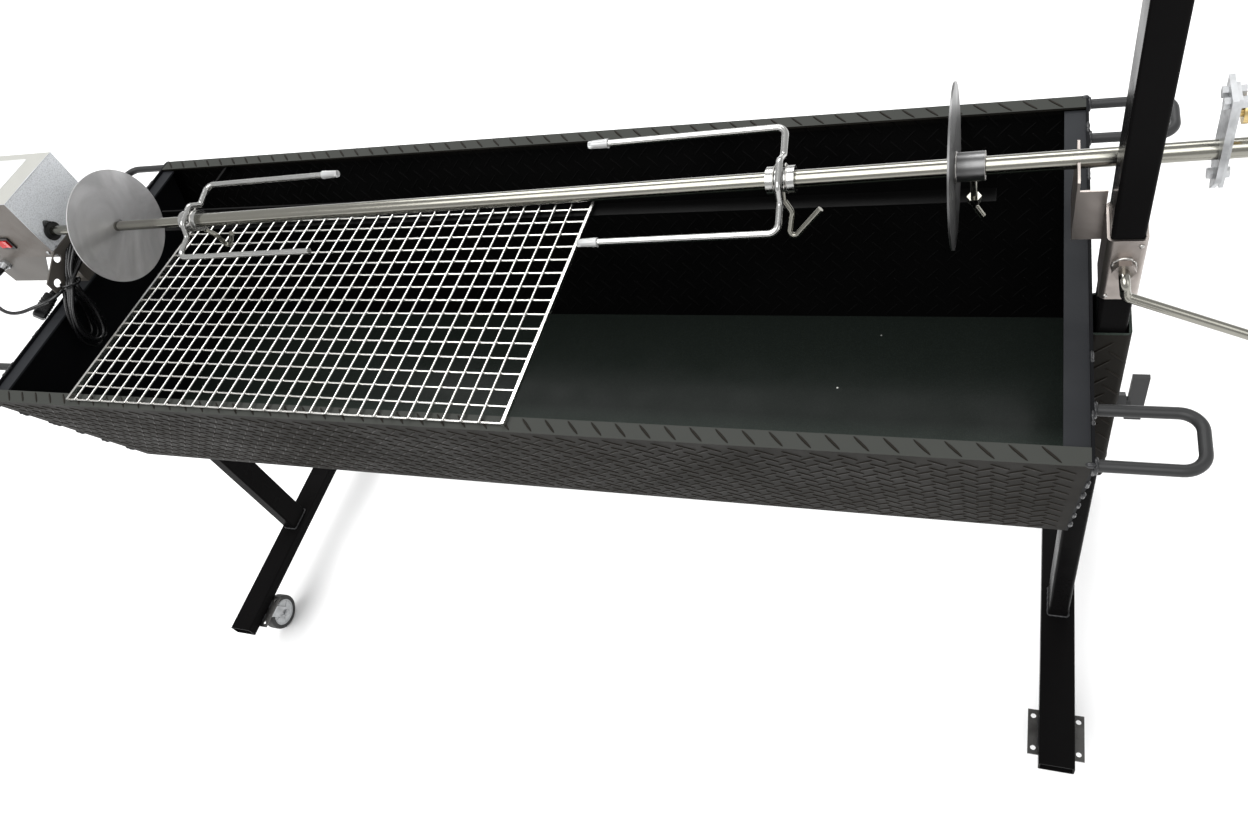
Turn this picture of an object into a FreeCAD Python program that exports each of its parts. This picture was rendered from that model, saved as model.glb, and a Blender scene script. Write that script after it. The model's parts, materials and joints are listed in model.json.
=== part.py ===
"""Charcoal spit roaster: a tread-plate trough on two wheeled foot bars, with a motor-driven spit.

Millimetres. The origin is on the floor under the middle of the trough, +X runs along the trough
away from the motor, +Y runs to the back, +Z is up. Heights named in the sheet are above the floor.
"""
import FreeCAD, Part
import Sketcher
import math
import os
import re

SIZES = {
    "rim_height": 862, "trough_length": 1530, "rim_width": 550, "floor_width": 347,
    "trough_depth": 300, "sheet_gauge": 3, "flange_width": 22, "strip_width": 24, "strip_drop": 5,
    "rail_front": 125, "rail_length": 1330, "rail_depth": 24, "rail_top": 11, "arm_spacing": 1224,
    "bar_radius": 6, "handle_near": 203, "handle_far": 268, "handle_reach": 92, "handle_drop": 8,
    "post_spacing": 1570, "post_offset": -60, "post_thick": 30, "post_deep": 50, "post_gauge": 2.5,
    "post_rise": 430, "socket_thick": 40, "socket_deep": 60, "socket_gauge": 3, "socket_drop": 28,
    "clamp_drop": 182, "joint_drop": 224, "foot_length": 656, "foot_width": 50, "foot_depth": 25,
    "caster_height": 100, "caster_spread": 272, "caster_trail": 25, "wheel_radius": 37.5,
    "tyre_depth": 9, "wheel_width": 24, "axle_radius": 4,
    "spit_rise": 111, "spit_tilt": 1.625, "spit_radius": 9.5, "spit_bore": 5.5, "spit_start": -800,
    "neck_radius": 7.5, "neck_end": -458, "spit_end": 914.73,
    "disc_radius": 85, "disc_left": -596, "disc_right": 625, "disc_gauge": 2,
    "collar_radius": 15, "collar_length": 29, "fork_left": -438, "fork_right": 444,
    "fork_reach": 63, "prong_length": 240, "prong_radius": 4, "tip_length": 26, "lever_reach": 76,
    "weight_place": 858, "motor_face": -745, "motor_length": 170, "motor_front": -26,
    "motor_back": 96, "motor_low": 58, "motor_high": 169, "housing_gauge": 1.5,
    "sleeve_low": 25, "sleeve_high": 105, "grill_left": -586, "grill_right": 140, "wire_radius": 1.5,
    "grill_front": -265, "wire_pitch": 25, "wires_across": 28, "wires_along": 16, "cord_radius": 3,
}

doc = FreeCAD.newDocument("SpitRoaster")
sheet = doc.addObject("Spreadsheet::Sheet", "Sizes")
for row, (alias, number) in enumerate(SIZES.items(), 1):
    sheet.set("A%d" % row, alias)
    sheet.set("B%d" % row, str(number))
    sheet.setAlias("B%d" % row, alias)
doc.recompute()

nodes = []
X, Y, Z = FreeCAD.Vector(1, 0, 0), FreeCAD.Vector(0, 1, 0), FreeCAD.Vector(0, 0, 1)
AXES = {"X": X, "Y": Y, "Z": Z}
SIDES = {"left": -1, "right": 1}


def size(alias):
    """A driving dimension, read from the sheet."""
    return float(sheet.get(alias))


def formula(text):
    """Point each alias named in a formula at the sheet's cell."""
    names = "|".join(sorted(SIZES, key=len, reverse=True))
    return re.sub(names, lambda word: "Sizes." + word.group(), text)


def bind(piece, prop, text):
    piece.setExpression(prop, formula(text))


def place(piece, corner):
    for letter, text in zip("xyz", corner):
        bind(piece, "Placement.Base." + letter, text)


def node(piece, label):
    """Name a finished sub-part, which is written to its own file."""
    piece.Label = label
    nodes.append(piece)
    return piece


def box(name, corner, lengths):
    """A box from its lowest corner and its three lengths."""
    piece = doc.addObject("Part::Box", name)
    for prop, text in zip(("Length", "Width", "Height"), lengths):
        bind(piece, prop, text)
    place(piece, corner)
    return piece


def cylinder(name, base, axis, radius, length):
    """A cylinder standing on its base point along X, Y or Z."""
    piece = doc.addObject("Part::Cylinder", name)
    piece.Placement = FreeCAD.Placement(FreeCAD.Vector(), FreeCAD.Rotation(Z, AXES[axis]))
    bind(piece, "Radius", radius)
    bind(piece, "Height", length)
    place(piece, base)
    return piece


def cut(name, base, tool):
    piece = doc.addObject("Part::Cut", name)
    piece.Base, piece.Tool = base, tool
    return piece


def fuse(name, pieces):
    piece = doc.addObject("Part::MultiFuse", name)
    piece.Shapes = pieces
    return piece


def group(name, pieces):
    """Several separate solids that share one file."""
    piece = doc.addObject("Part::Compound", name)
    piece.Links = pieces
    return piece


def rounded(name, base, axis, radius):
    """Round a box's four edges that run along one axis."""
    doc.recompute()
    piece = doc.addObject("Part::Fillet", name)
    piece.Base = base
    picked = []
    for number, edge in enumerate(base.Shape.Edges, 1):
        direction = edge.tangentAt(edge.FirstParameter)
        if abs(direction.dot(AXES[axis])) > 0.999:
            picked.append((number, radius, radius))
    piece.Edges = picked
    return piece


def tube(name, corner, lengths, gauge, axis, corner_radius=3):
    """A rounded rectangular tube, open at both ends, running along one axis."""
    outer = rounded(name + "_round", box(name + "_outer", corner, lengths), axis, corner_radius)
    run = "XYZ".index(axis)
    inner_corner = ["%s + %s" % (text, gauge) for text in corner]
    inner_lengths = ["%s - 2 * %s" % (text, gauge) for text in lengths]
    inner_corner[run] = "%s - 1" % corner[run]
    inner_lengths[run] = "%s + 2" % lengths[run]
    return cut(name, outer, box(name + "_inner", inner_corner, inner_lengths))


def shaped(name, shape):
    """A piece whose shape no primitive fits."""
    piece = doc.addObject("Part::Feature", name)
    piece.Shape = shape
    return piece


def route(points, radii):
    """Straight runs joined by tangent arcs, one radius for each inner point."""
    points = [FreeCAD.Vector(*point) for point in points]
    edges = []
    start = points[0]
    for before, corner, after, radius in zip(points, points[1:], points[2:], radii):
        into, away = (corner - before).normalize(), (after - corner).normalize()
        half_turn = into.getAngle(away) / 2
        reach = radius * math.tan(half_turn)
        first, last = corner - into * reach, corner + away * reach
        inward = (away - into).normalize()
        middle = corner + inward * (radius / math.cos(half_turn) - radius)
        edges.append(Part.LineSegment(start, first).toShape())
        edges.append(Part.Arc(first, middle, last).toShape())
        start = last
    edges.append(Part.LineSegment(start, points[-1]).toShape())
    return Part.Wire(edges)


def bent_bar(points, bar_radius, radii):
    """A round bar swept along a route."""
    path = route(points, radii)
    direction = FreeCAD.Vector(*points[1]) - FreeCAD.Vector(*points[0])
    ring = Part.Wire(Part.makeCircle(bar_radius, FreeCAD.Vector(*points[0]), direction))
    bar = path.makePipeShell([ring], True, False, 2)
    return bar, path.Length


def polygon_prism(points, push):
    """A flat polygon pushed along a vector into a solid."""
    corners = [FreeCAD.Vector(*point) for point in points]
    outline = Part.makePolygon(corners + corners[:1])
    return Part.Face(outline).extrude(push)


def profile_body(name, points, length, start):
    """A Pad along X of an outline in Y and Z whose points are formulas."""
    body = doc.addObject("PartDesign::Body", name)
    sketch = body.newObject("Sketcher::SketchObject", name + "_outline")
    planes = {feature.Role: feature for feature in body.Origin.OriginFeatures}
    sketch.AttachmentSupport = [(planes["YZ_Plane"], "")]
    sketch.MapMode = "FlatFace"
    rough = [FreeCAD.Vector(math.cos(turn * 2 * math.pi / len(points)) * 100,
                            math.sin(turn * 2 * math.pi / len(points)) * 100, 0)
             for turn in range(len(points))]
    for first, last in zip(rough, rough[1:] + rough[:1]):
        sketch.addGeometry(Part.LineSegment(first, last))
    for number in range(len(points)):
        following = (number + 1) % len(points)
        sketch.addConstraint(Sketcher.Constraint("Coincident", number, 2, following, 1))
    for number, (across, up) in enumerate(points):
        for kind, text, guess in (("DistanceX", across, rough[number].x),
                                  ("DistanceY", up, rough[number].y)):
            index = sketch.addConstraint(Sketcher.Constraint(kind, -1, 1, number, 1, guess))
            sketch.setExpression("Constraints[%d]" % index, formula(text))
    pad = body.newObject("PartDesign::Pad", name + "_pad")
    pad.Profile = sketch
    bind(pad, "Length", length)
    bind(body, "Placement.Base.x", start)
    bind(body, "Placement.Base.z", "rim_height")
    return body


def spit_height(along):
    """The spit axis's height where its X is given."""
    return size("rim_height") + size("spit_rise") + along * math.tan(math.radians(size("spit_tilt")))


def on_spit(name, shape, along, turn=0):
    """Set a shape, made along +X round the origin, at a station of the tilted spit."""
    piece = shaped(name, shape)
    lean = FreeCAD.Rotation(Y, -size("spit_tilt")) * FreeCAD.Rotation(X, turn)
    piece.Placement = FreeCAD.Placement(FreeCAD.Vector(along, 0, spit_height(along)), lean)
    return piece


def disc(radius, start, length, along=X, across=(0, 0)):
    """A plain cylinder shape along X, its centre offset in Y and Z."""
    return Part.makeCylinder(radius, length, FreeCAD.Vector(start, *across), along)


def hexagon(flats, start, thickness, direction):
    """A hexagonal prism on the axis that starts at a point and runs along a direction."""
    corner = flats / 2 / math.cos(math.pi / 6)
    points = [(corner * math.cos(turn * math.pi / 3), corner * math.sin(turn * math.pi / 3), 0)
              for turn in range(6)]
    prism = polygon_prism(points, Z * thickness)
    prism.Placement = FreeCAD.Placement(FreeCAD.Vector(*start), FreeCAD.Rotation(Z, direction))
    return prism


# ---- trough -------------------------------------------------------------------------------------

def make_trough():
    """One folded tread-plate pan, closed by two end walls that each carry a flat strip."""
    slope = "(rim_width - floor_width) / 2 / trough_depth"
    slant = "sheet_gauge * sqrt(1 + (%s) * (%s))" % (slope, slope)
    inner = "(rim_width / 2 - %s - %s * %%s)" % (slant, slope)
    half = [("-rim_width / 2", "0"), ("-floor_width / 2", "-trough_depth")]
    shell = half + [("floor_width / 2", "-trough_depth"), ("rim_width / 2", "0"),
                    ("rim_width / 2 - flange_width", "0"),
                    ("rim_width / 2 - flange_width", "-sheet_gauge"),
                    (inner % "sheet_gauge", "-sheet_gauge"),
                    (inner % "(trough_depth - sheet_gauge)", "sheet_gauge - trough_depth"),
                    ("-" + inner % "(trough_depth - sheet_gauge)", "sheet_gauge - trough_depth"),
                    ("-" + inner % "sheet_gauge", "-sheet_gauge"),
                    ("flange_width - rim_width / 2", "-sheet_gauge"),
                    ("flange_width - rim_width / 2", "0")]
    node(profile_body("pan", shell, "trough_length - 2 * sheet_gauge",
                      "sheet_gauge - trough_length / 2"), "trough_pan")
    wall = half + [("floor_width / 2", "-trough_depth"), ("rim_width / 2", "0")]
    strips = []
    for side, sign in SIDES.items():
        start = "trough_length / 2 - sheet_gauge" if sign > 0 else "-trough_length / 2"
        node(profile_body("wall_" + side, wall, "sheet_gauge", start), "end_wall_" + side)
        inner_face = "%d * (trough_length / 2 - sheet_gauge)" % sign
        low = inner_face + " - strip_width" if sign > 0 else inner_face
        strips.append(box("strip_" + side,
                          (low, "flange_width - rim_width / 2", "rim_height - strip_drop - sheet_gauge"),
                          ("strip_width", "rim_width - 2 * flange_width", "sheet_gauge")))
    node(group("strips", strips), "end_strips")


def make_rail():
    """An angle along the trough that the grill's back edge sits in, on two arms."""
    low = "rim_height + rail_top - rail_depth"
    web = box("rail_web", ("-rail_length / 2", "rail_front", low),
              ("rail_length", "sheet_gauge", "rail_depth"))
    leg = box("rail_leg_plate", ("-rail_length / 2", "rail_front - rail_depth", low),
              ("rail_length", "rail_depth", "sheet_gauge"))
    node(fuse("rail", [web, leg]), "grill_rail")
    reach = "rim_width / 2 - 8 - rail_front - sheet_gauge"
    arms = [box("arm_%d" % sign, ("%d * arm_spacing / 2 - 2.5" % sign, "rail_front + sheet_gauge", low),
                ("5", reach, "9.5")) for sign in (-1, 1)]
    node(group("arms", arms), "rail_arms")


def make_handles():
    """Four lifting loops of round bar, two on each end wall."""
    height = size("rim_height") - size("handle_drop")
    bend = 20
    loops = []
    for sign in (-1, 1):
        root = sign * size("trough_length") / 2
        tip = root + sign * size("handle_reach")
        for back in (-1, 1):
            near, far = back * size("handle_near"), back * size("handle_far")
            points = [(root, far, height), (tip, far, height), (tip, near, height), (root, near, height)]
            loops.append(shaped("handle", bent_bar(points, size("bar_radius"), [bend, bend])[0]))
    node(group("handle_loops", loops), "lift_handles")


# ---- end frames ---------------------------------------------------------------------------------

def make_end_frame(side, sign):
    """A socket on the end wall, a leg under it and a wheeled foot bar across the leg."""
    middle = "%d * post_spacing / 2" % sign
    hole_height = "rim_height - clamp_drop"
    socket = tube("socket_tube_" + side,
                  (middle + " - socket_thick / 2", "post_offset - socket_deep / 2",
                   "rim_height - trough_depth"),
                  ("socket_thick", "socket_deep", "trough_depth - socket_drop"), "socket_gauge", "Z", 6)
    outer_face = "%d * (post_spacing / 2 + socket_thick / 2)" % sign
    drill = cylinder("drill_" + side, (outer_face + " - 5", "post_offset", hole_height),
                     "X", "bar_radius + 0.05", "10")
    node(cut("socket_" + side, socket, drill), "post_socket_" + side)
    bar_top = "caster_height + foot_depth"
    leg = tube("leg_tube_" + side,
               (middle + " - post_thick / 2", "post_offset - post_deep / 2", bar_top),
               ("post_thick", "post_deep", "rim_height - joint_drop - 2 - (%s)" % bar_top),
               "post_gauge", "Z", 4)
    node(leg, "leg_" + side)
    foot = tube("foot_tube_" + side,
                (middle + " - foot_width / 2", "-foot_length / 2", "caster_height"),
                ("foot_width", "foot_length", "foot_depth"), "post_gauge", "Y", 3)
    node(foot, "foot_bar_" + side)
    start, nut, grip = [(size("post_spacing") / 2 + offset) * sign for offset in (15.3, 20, 34)]
    height, offset = size("rim_height") - size("clamp_drop"), size("post_offset")
    away = X * sign
    shaft = Part.makeCylinder(size("bar_radius"), 22, FreeCAD.Vector(start, offset, height), away)
    bar = Part.makeBox(18, 6, 80)
    low = min(grip, grip + 18 * sign)
    bar.translate(FreeCAD.Vector(low, offset - 3, height - 32))
    node(shaped("screw_" + side, shaft.fuse(bar).removeSplitter()), "t_screw_" + side)
    hexagonal = hexagon(19, (nut, offset, height), 12, away)
    bore = Part.makeCylinder(size("bar_radius") + 0.05, 12, FreeCAD.Vector(nut, offset, height), away)
    return shaped("nut_" + side, hexagonal.cut(bore))


def caster_places():
    """Each caster's name, its kingpin's X and Y, and the way its wheel trails."""
    for side, sign in SIDES.items():
        for end, back in (("front", -1), ("back", 1)):
            yield (end + "_" + side, sign * size("post_spacing") / 2, back * size("caster_spread"), -back)


def make_caster_fork(name, middle, offset, trail):
    """A pressed fork that swivels under its top plate, with the wheel's axle bolt in it."""
    top, crown, cheek, half_gap = 6.3, 3, 3, 15
    crown_high = size("caster_height") - top
    axle_y = offset + trail * size("caster_trail")
    crown_plate = Part.makeCylinder(22, crown, FreeCAD.Vector(middle, offset, crown_high - crown))
    pin_hole = Part.makeCylinder(5.05, 20, FreeCAD.Vector(middle, offset, crown_high - 10))
    fork = crown_plate.cut(pin_hole)
    axle = size("axle_radius")
    for sign in (-1, 1):
        low = middle + (half_gap if sign > 0 else -half_gap - cheek)
        outline = [(low, offset - trail * 12, crown_high), (low, offset + trail * 15, crown_high),
                   (low, axle_y + trail * 11, size("wheel_radius") + 4),
                   (low, axle_y + trail * 7, size("wheel_radius") - 9),
                   (low, axle_y - trail * 7, size("wheel_radius") - 9),
                   (low, axle_y - trail * 13, size("wheel_radius") + 4)]
        plate = polygon_prism(outline, X * cheek)
        hole = Part.makeCylinder(axle, cheek + 2, FreeCAD.Vector(low - 1, axle_y, size("wheel_radius")), X)
        fork = fork.fuse(plate.cut(hole))
    at_axle = (axle_y, size("wheel_radius"))
    bolt = disc(axle, middle - 18, 36, X, at_axle)
    for start in (-22, 18):
        bolt = bolt.fuse(disc(7, middle + start, 4, X, at_axle))
    return group("fork_parts_" + name, [shaped("fork_" + name, fork.removeSplitter()),
                                        shaped("axle_" + name, bolt.removeSplitter())])


def make_casters():
    """Top plates with riveted kingpins, swivelling forks, wheels and tyres."""
    plates, pins = [], []
    for name, middle, offset, trail in caster_places():
        low = size("caster_height") - 3
        plate = Part.makeBox(80, 70, 3, FreeCAD.Vector(middle - 40, offset - 35, low))
        for across in (-32, 32):
            for along in (-25, 25):
                spot = FreeCAD.Vector(middle + across, offset + along, low - 1)
                plate = plate.cut(Part.makeCylinder(4, 5, spot))
        race = Part.makeCylinder(20, 3, FreeCAD.Vector(middle, offset, low - 3))
        bore = Part.makeCylinder(5, 10, FreeCAD.Vector(middle, offset, low - 5))
        plates.append(shaped("plate_" + name, plate.fuse(race).cut(bore).removeSplitter()))
        pin = Part.makeCylinder(5, 12.3, FreeCAD.Vector(middle, offset, low - 9.3))
        head = Part.makeCylinder(8, 3, FreeCAD.Vector(middle, offset, low - 9.6))
        pins.append(shaped("pin_" + name, pin.fuse(head).removeSplitter()))
        node(make_caster_fork(name, middle, offset, trail), "caster_fork_" + name)
        at_axle = (offset + trail * size("caster_trail"), size("wheel_radius"))
        core = size("wheel_radius") - size("tyre_depth")
        width = size("wheel_width")
        hub = disc(core, middle - width / 2 + 1, width - 2, X, at_axle)
        hub = hub.cut(disc(size("axle_radius") + 0.05, middle - 20, 40, X, at_axle))
        node(shaped("wheel_" + name, hub), "caster_wheel_" + name)
        tyre = disc(size("wheel_radius"), middle - width / 2, width, X, at_axle)
        rims = [edge for edge in tyre.Edges if edge.Closed]
        tyre = tyre.makeFillet(4, rims).cut(disc(core, middle - 20, 40, X, at_axle))
        node(shaped("tyre_" + name, tyre), "caster_tyre_" + name)
    node(group("plates_and_pins", plates + pins), "caster_plates")


# ---- right-hand post, sleeve and cradle ---------------------------------------------------------

def make_post():
    """The tall post that stands in the right socket."""
    post = tube("post_tube",
                ("post_spacing / 2 - post_thick / 2", "post_offset - post_deep / 2",
                 "rim_height - joint_drop + 2"),
                ("post_thick", "post_deep", "post_rise + joint_drop - 2"), "post_gauge", "Z", 4)
    node(post, "spit_post")


def make_sleeve():
    """A sleeve on the post with a nut for its clamp screw and a folded cradle for the spit."""
    middle, offset = size("post_spacing") / 2, size("post_offset")
    rim, gap, gauge = size("rim_height"), 0.3, 2.5
    wide, deep = size("post_thick") + 2 * gap, size("post_deep") + 2 * gap
    tall = size("sleeve_high") - size("sleeve_low")

    def column(extra, corner, low, height):
        shape = Part.makeBox(wide + extra, deep + extra, height)
        shape.translate(FreeCAD.Vector(middle - (wide + extra) / 2, offset - (deep + extra) / 2, low))
        upright = [edge for edge in shape.Edges if abs(edge.tangentAt(0).z) > 0.9]
        return shape.makeFillet(corner, upright)

    low = rim + size("sleeve_low")
    sleeve = column(2 * gauge, 6, low, tall).cut(column(0, 3.5, low - 1, tall + 2))
    screw_height = rim + 72
    front = offset - deep / 2 - gauge
    nut = hexagon(19, (middle, front + 0.5, screw_height), 9.5, -Y)
    bore = Part.makeCylinder(5.05, 30, FreeCAD.Vector(middle, front - 12, screw_height), Y)
    sleeve = sleeve.fuse(nut).cut(bore)
    left, low, high = 739.5, rim + 62, rim + 125
    side_face = middle - wide / 2 - gauge
    front_plate = Part.makeBox(side_face - left, gauge, high - low, FreeCAD.Vector(left, -40, low))
    rod_height = spit_height(left + gauge / 2)
    cradle = Part.makeBox(gauge, 64, rod_height + 4 - low, FreeCAD.Vector(left, -40, low))
    notch = Part.makeCylinder(size("spit_radius") + 0.3, 10, FreeCAD.Vector(left - 4, 0, rod_height), X)
    mouth = Part.makeBox(10, 2 * size("spit_radius") + 0.6, 20)
    mouth.translate(FreeCAD.Vector(left - 4, -size("spit_radius") - 0.3, rod_height))
    cradle = cradle.cut(notch).cut(mouth)
    node(shaped("sleeve_parts", sleeve.fuse([front_plate, cradle]).removeSplitter()), "post_sleeve")
    handle = [(middle, -85.3, screw_height), (middle, -110, screw_height),
              (middle + 3, -111, screw_height - 18), (middle + 122, -111, screw_height - 76)]
    node(shaped("sleeve_clamp", bent_bar(handle, 5, [8, 8])[0]), "sleeve_screw")


# ---- motor unit ---------------------------------------------------------------------------------

def make_motor():
    """A cover over a gear motor on a folded bracket that hooks over the left end wall."""
    rim, face, front = size("rim_height"), size("motor_face"), size("motor_front")
    length, back = size("motor_length"), size("motor_back")
    low, high, gauge = rim + size("motor_low"), rim + size("motor_high"), size("housing_gauge")
    axis_height = spit_height(face)

    def block(x, y, z, far_x, far_y, far_z):
        return Part.makeBox(far_x - x, far_y - y, far_z - z, FreeCAD.Vector(x, y, z))

    cover = block(face - length, front, low, face, back, high)
    cover = cover.cut(block(face - length + gauge, front + gauge, low - 1,
                            face - gauge, back - gauge, high - gauge))
    cover = cover.cut(disc(13.6, face - 10, 20, X, (0, axis_height)))
    switch_x, switch_z = -830, rim + 91
    cover = cover.cut(block(switch_x - 11, front - 5, switch_z - 7, switch_x + 11, front + 5, switch_z + 7))
    node(shaped("cover", cover), "motor_housing")

    tray = block(face - length + 2, front + 2, low - 3, face, back - 2, low)
    cheek = polygon_prism([(-913, front, low), (-775, front, low), (-822, front, rim + 3),
                           (-905, front, rim + 3)], Y * 3)
    plate = polygon_prism([(face, -20, rim), (face, 60, rim), (face, 60, rim + 69), (face, -26, rim + 69),
                           (face, -75, rim + 45), (face, -75, rim + 20), (face, -20, rim + 20)], X * 3)
    for across, up in ((-30, 58), (-61, 33)):
        plate = plate.cut(disc(7, face - 5, 12, X, (across, rim + up)))
    saddle = block(-772, -20, rim, face + 3, 60, rim + 3)
    pad = block(-762, -20, rim - size("strip_drop"), face + 3, 60, rim)
    lip = block(-772, -20, rim - 30, -769.5, 60, rim)
    bracket = tray.fuse([cheek, plate, saddle, pad, lip]).removeSplitter()
    node(shaped("bracket", bracket), "motor_bracket")

    gearbox = block(-850, front + 4, low, -812, 60, rim + 130)
    gearbox = gearbox.cut(disc(6.05, -831, 30, X, (0, axis_height)))
    can = disc(26, -908, 58, X, (32, rim + 92))
    node(shaped("drive_unit", gearbox.fuse(can).removeSplitter()), "gear_motor")
    socket = disc(14, -808, 56, X, (0, axis_height)).cut(disc(11, -803, 60, X, (0, axis_height)))
    socket = socket.fuse(disc(6, -830, 22, X, (0, axis_height)))
    node(shaped("socket_shape", socket.removeSplitter()), "drive_socket")
    ring = Part.makeSphere(13, FreeCAD.Vector(face, 0, axis_height))
    ring = ring.common(disc(14, face - 3, 6, X, (0, axis_height)))
    bore = disc(size("neck_radius") + 0.05, -10, 20)
    bore.Placement = FreeCAD.Placement(FreeCAD.Vector(face, 0, axis_height),
                                       FreeCAD.Rotation(Y, -size("spit_tilt")))
    node(shaped("bush", ring.cut(bore)), "spit_bush")

    bezel = block(switch_x - 15, front - 3, switch_z - 11, switch_x + 15, front, switch_z + 11)
    bezel = bezel.cut(block(switch_x - 11, front - 5, switch_z - 7, switch_x + 11, front + 5, switch_z + 7))
    node(shaped("bezel", bezel), "switch_bezel")
    outline = [(switch_x - 10.2, front - 0.3), (switch_x + 10.2, front - 0.3),
               (switch_x + 10.2, front - 5.5), (switch_x, front - 4), (switch_x - 10.2, front - 5.5)]
    rocker = polygon_prism([(across, out, switch_z - 6.7) for across, out in outline], Z * 13.4)
    pivot = Part.makeCylinder(1.5, 13.8, FreeCAD.Vector(switch_x, front - 2.2, switch_z - 6.9))
    node(shaped("rocker", rocker.fuse(pivot).removeSplitter()), "switch_rocker")
    gland_at = (-880, front, rim + 45)
    gland = hexagon(16, gland_at, 5, -Y)
    dome = Part.makeCone(7, 4.5, 9, FreeCAD.Vector(-880, front - 5, rim + 45), -Y)
    node(shaped("gland", gland.fuse(dome).removeSplitter()), "cable_gland")


# ---- mains cord ---------------------------------------------------------------------------------

def make_cord():
    """A lead from the gland to a tied hank over the end wall, a short tail and its plug."""
    rim, radius = size("rim_height"), size("cord_radius")

    def cord(label, points):
        points = [(x, y, rim + z) for x, y, z in points]
        radii = []
        for before, corner, after in zip(points, points[1:], points[2:]):
            into = FreeCAD.Vector(*corner) - FreeCAD.Vector(*before)
            away = FreeCAD.Vector(*after) - FreeCAD.Vector(*corner)
            radii.append(0.45 * min(into.Length, away.Length) / math.tan(into.getAngle(away) / 2))
        shape, length = bent_bar(points, radius, radii)
        print(label, "radii", [round(value, 1) for value in radii], "length", round(length, 1),
              "volume ratio", round(shape.Volume / (math.pi * radius ** 2 * length), 4))
        node(shaped(label + "_tube", shape), label)

    cord("cord_lead", [(-880, -40.3, 45), (-880, -66, 44), (-874, -90, 36), (-856, -106, 25),
                       (-832, -113, 17), (-806, -111, 16), (-782, -103, 19), (-760, -92, 20),
                       (-747, -88, 22), (-738.2, -84, 24)])
    hank = [(18, 60), (6, 72), (-18, 62), (-48, 44), (-68, 20), (-112, -30), (-122, -62),
            (-108, -80), (-84, -78), (-62, -50), (-50, -10), (-40, 16), (-10, 34), (14, 46)]
    solid = polygon_prism([(-737.7, y, rim + z) for y, z in hank], X * 23)
    node(shaped("hank", solid), "cord_hank")
    cord("cord_tail", [(-738.2, -58, 9), (-750, -57, 8), (-762, -50, 6.5), (-775, -46, 6.5),
                       (-784, -51, 6.2), (-784, -61.5, 6)])
    body = Part.makeBox(20, 46, 15, FreeCAD.Vector(-10, -46, -7.5))
    body = body.makeFillet(4, body.Edges)
    for across in (-5, 5):
        pin = Part.makeBox(1.6, 6.5, 17, FreeCAD.Vector(across - 0.8, -36, -24))
        body = body.fuse(pin)
    plug = shaped("plug_body", body.removeSplitter())
    turned = FreeCAD.Rotation(X, 6) * FreeCAD.Rotation(Y, 50)
    plug.Placement = FreeCAD.Placement(FreeCAD.Vector(-784, -62, rim + 6), turned)
    node(plug, "plug")


# ---- spit and what it carries -------------------------------------------------------------------

def make_lock_screw(name, along, depth):
    """A short screw with a hexagon and a bent end, in a disc's collar."""
    shank, _ = bent_bar([(0, 0, -depth), (0, 0, -52), (8, 0, -68)], 3.5, [8])
    screw = shank.fuse(hexagon(13, (0, 0, -40), 7, -Z))
    node(on_spit(name + "_parts", screw.removeSplitter(), along), name)


def make_disc(side, along, outward, shaft):
    """A meat-guard disc welded to a collar that its screw locks to the spit."""
    gauge, collar = size("disc_gauge"), size("collar_length")
    plate = disc(size("disc_radius"), -gauge / 2, gauge).cut(disc(11, -10, 20))
    start = gauge / 2 if outward > 0 else -gauge / 2 - collar
    ring = disc(size("collar_radius"), start, collar).cut(disc(shaft + 0.05, -50, 100))
    shape = plate.fuse(ring).removeSplitter()
    screw_at = outward * (gauge / 2 + collar * 0.6)
    hole = Part.makeCylinder(3.55, 30, FreeCAD.Vector(screw_at, 0, 0), -Z)
    node(on_spit("disc_parts_" + side, shape.cut(hole), along), "disc_" + side)
    make_lock_screw("disc_screw_" + side, along + screw_at, shaft + 0.1)


def make_fork(side, along, inward, turn, lever_turn, tipped):
    """A two-prong meat fork bent from one bar, welded over a collar, with a cranked lever screw."""
    reach, prong = size("fork_reach"), size("prong_length")
    tip = inward * prong
    points = [(tip, reach, 0), (0, reach, 0), (0, 28, 0), (0, 15, 16), (0, -15, 16), (0, -28, 0),
              (0, -reach, 0), (tip, -reach, 0)]
    bar, _ = bent_bar(points, size("prong_radius"), [11, 8, 8, 8, 8, 11])
    hub = disc(13.5, -16, 32)
    for start in (-16, 7):
        hub = hub.fuse(disc(15, start, 9))
    fork = bar.fuse(hub).cut(disc(size("spit_radius") + 0.05, -50, 100)).removeSplitter()
    hole = Part.makeCylinder(3.55, 30, FreeCAD.Vector(), -Z)
    hole.rotate(FreeCAD.Vector(), X, lever_turn - turn)
    node(on_spit("fork_parts_" + side, fork.cut(hole), along, turn), "fork_" + side)
    cover = size("tip_length")
    caps = []
    for number, across in enumerate(tipped):
        start = FreeCAD.Vector(tip - inward * (cover - 4), across * reach, 0)
        cap = Part.makeCone(5.7, 4.6, cover, start, X * inward)
        bore = Part.makeCylinder(size("prong_radius") + 0.05, cover - 3.9, start, X * inward)
        caps.append(on_spit("cap_%s_%d" % (side, number), cap.cut(bore), along, turn))
    node(group("caps_" + side, caps), "fork_tips_" + side)
    lever_reach = size("lever_reach")
    lever, _ = bent_bar([(0, 0, -9.6), (0, 0, -24), (8, 0, -38), (0, 0, -lever_reach),
                         (40, 0, 40 - lever_reach)], 3.5, [6, 10, 5])
    node(on_spit("lever_" + side, lever, along, lever_turn), "fork_lever_" + side)


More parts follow.
